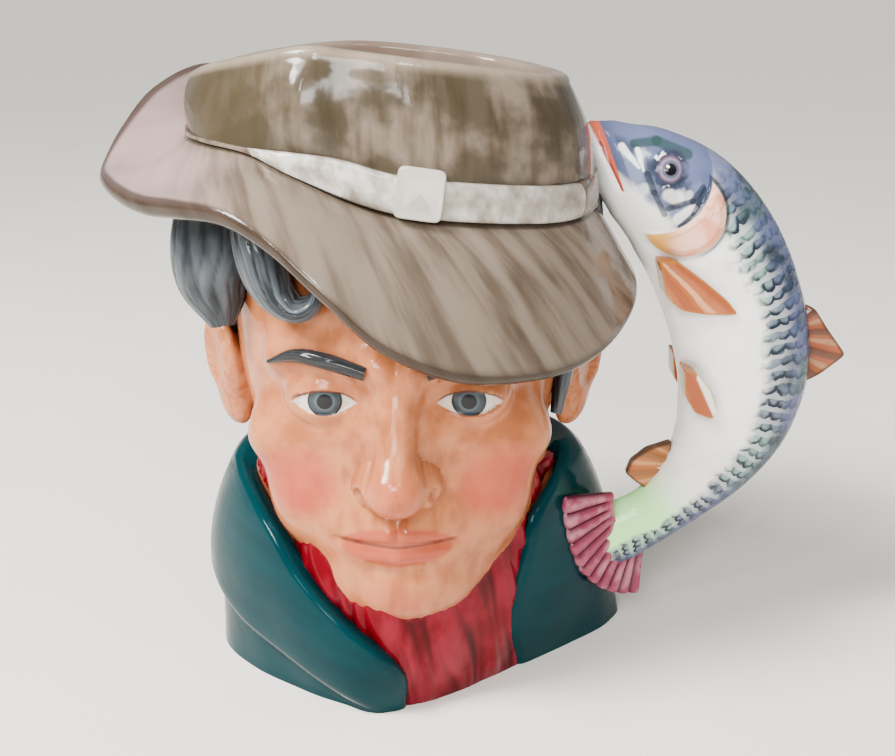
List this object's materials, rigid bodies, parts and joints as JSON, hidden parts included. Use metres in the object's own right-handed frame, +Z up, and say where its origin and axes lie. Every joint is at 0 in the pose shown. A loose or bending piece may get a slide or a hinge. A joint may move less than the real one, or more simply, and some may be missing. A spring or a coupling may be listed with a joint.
{
  "type": "character mug",
  "caption": "Glazed earthenware mug moulded as a man's head in a brimmed felt hat, open at the crown, with a leaping trout as its handle.",
  "frame": {"origin": "in the flat underside on the table, below the middle of the head", "axes": "+Z up; the face looks along -Y; the trout handle is on the +X side"},
  "size_m": [0.2066, 0.123, 0.1749],
  "materials": {
    "glazed_earthenware": "hand-painted earthenware under a clear gloss glaze"
  },
  "bodies": {
    "root": {"mug": "glazed_earthenware"}
  },
  "joints": []
}
